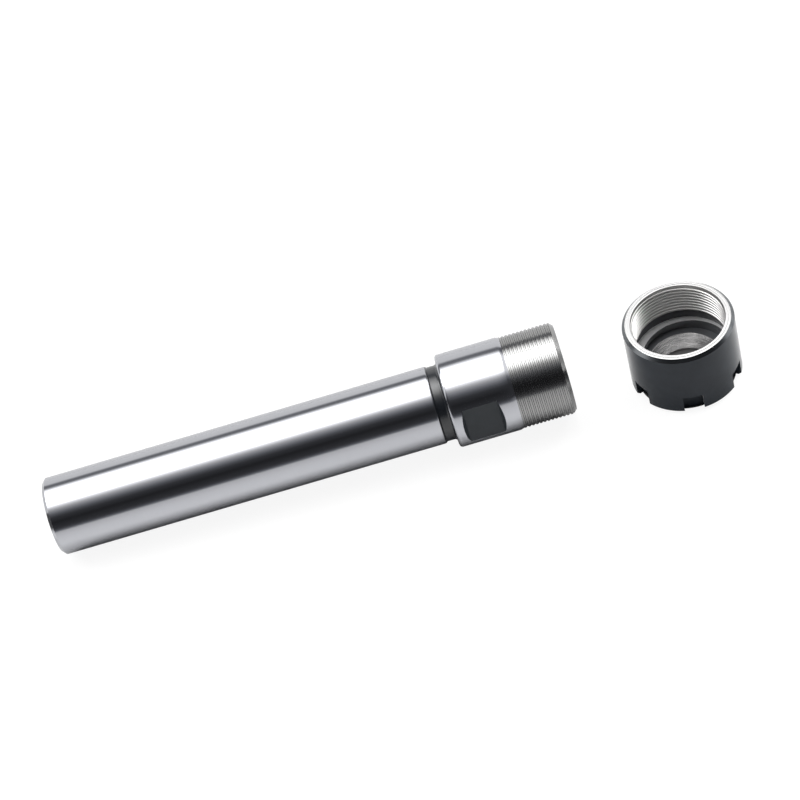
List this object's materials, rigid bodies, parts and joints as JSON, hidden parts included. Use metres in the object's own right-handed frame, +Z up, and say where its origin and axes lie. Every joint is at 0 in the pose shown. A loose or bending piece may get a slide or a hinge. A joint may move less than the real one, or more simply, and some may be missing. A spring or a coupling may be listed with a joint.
{
  "type": "collet chuck holder",
  "caption": "Straight-shank collet chuck holder lying on its side, with its small slotted clamping nut taken off and stood beside it.",
  "frame": {"origin": "middle of the footprint of the lying holder and the standing nut, on the surface they rest on", "axes": "+X along the holder from its shank to its thread and on to the nut, +Y away from the front of the view, +Z up"},
  "size_m": [0.1774, 0.028, 0.0243],
  "materials": {
    "ground_steel": "ground",
    "black_oxide_steel": "satin"
  },
  "bodies": {
    "root": {"chuck_body": "ground_steel", "clamping_nut": "black_oxide_steel"}
  },
  "joints": []
}
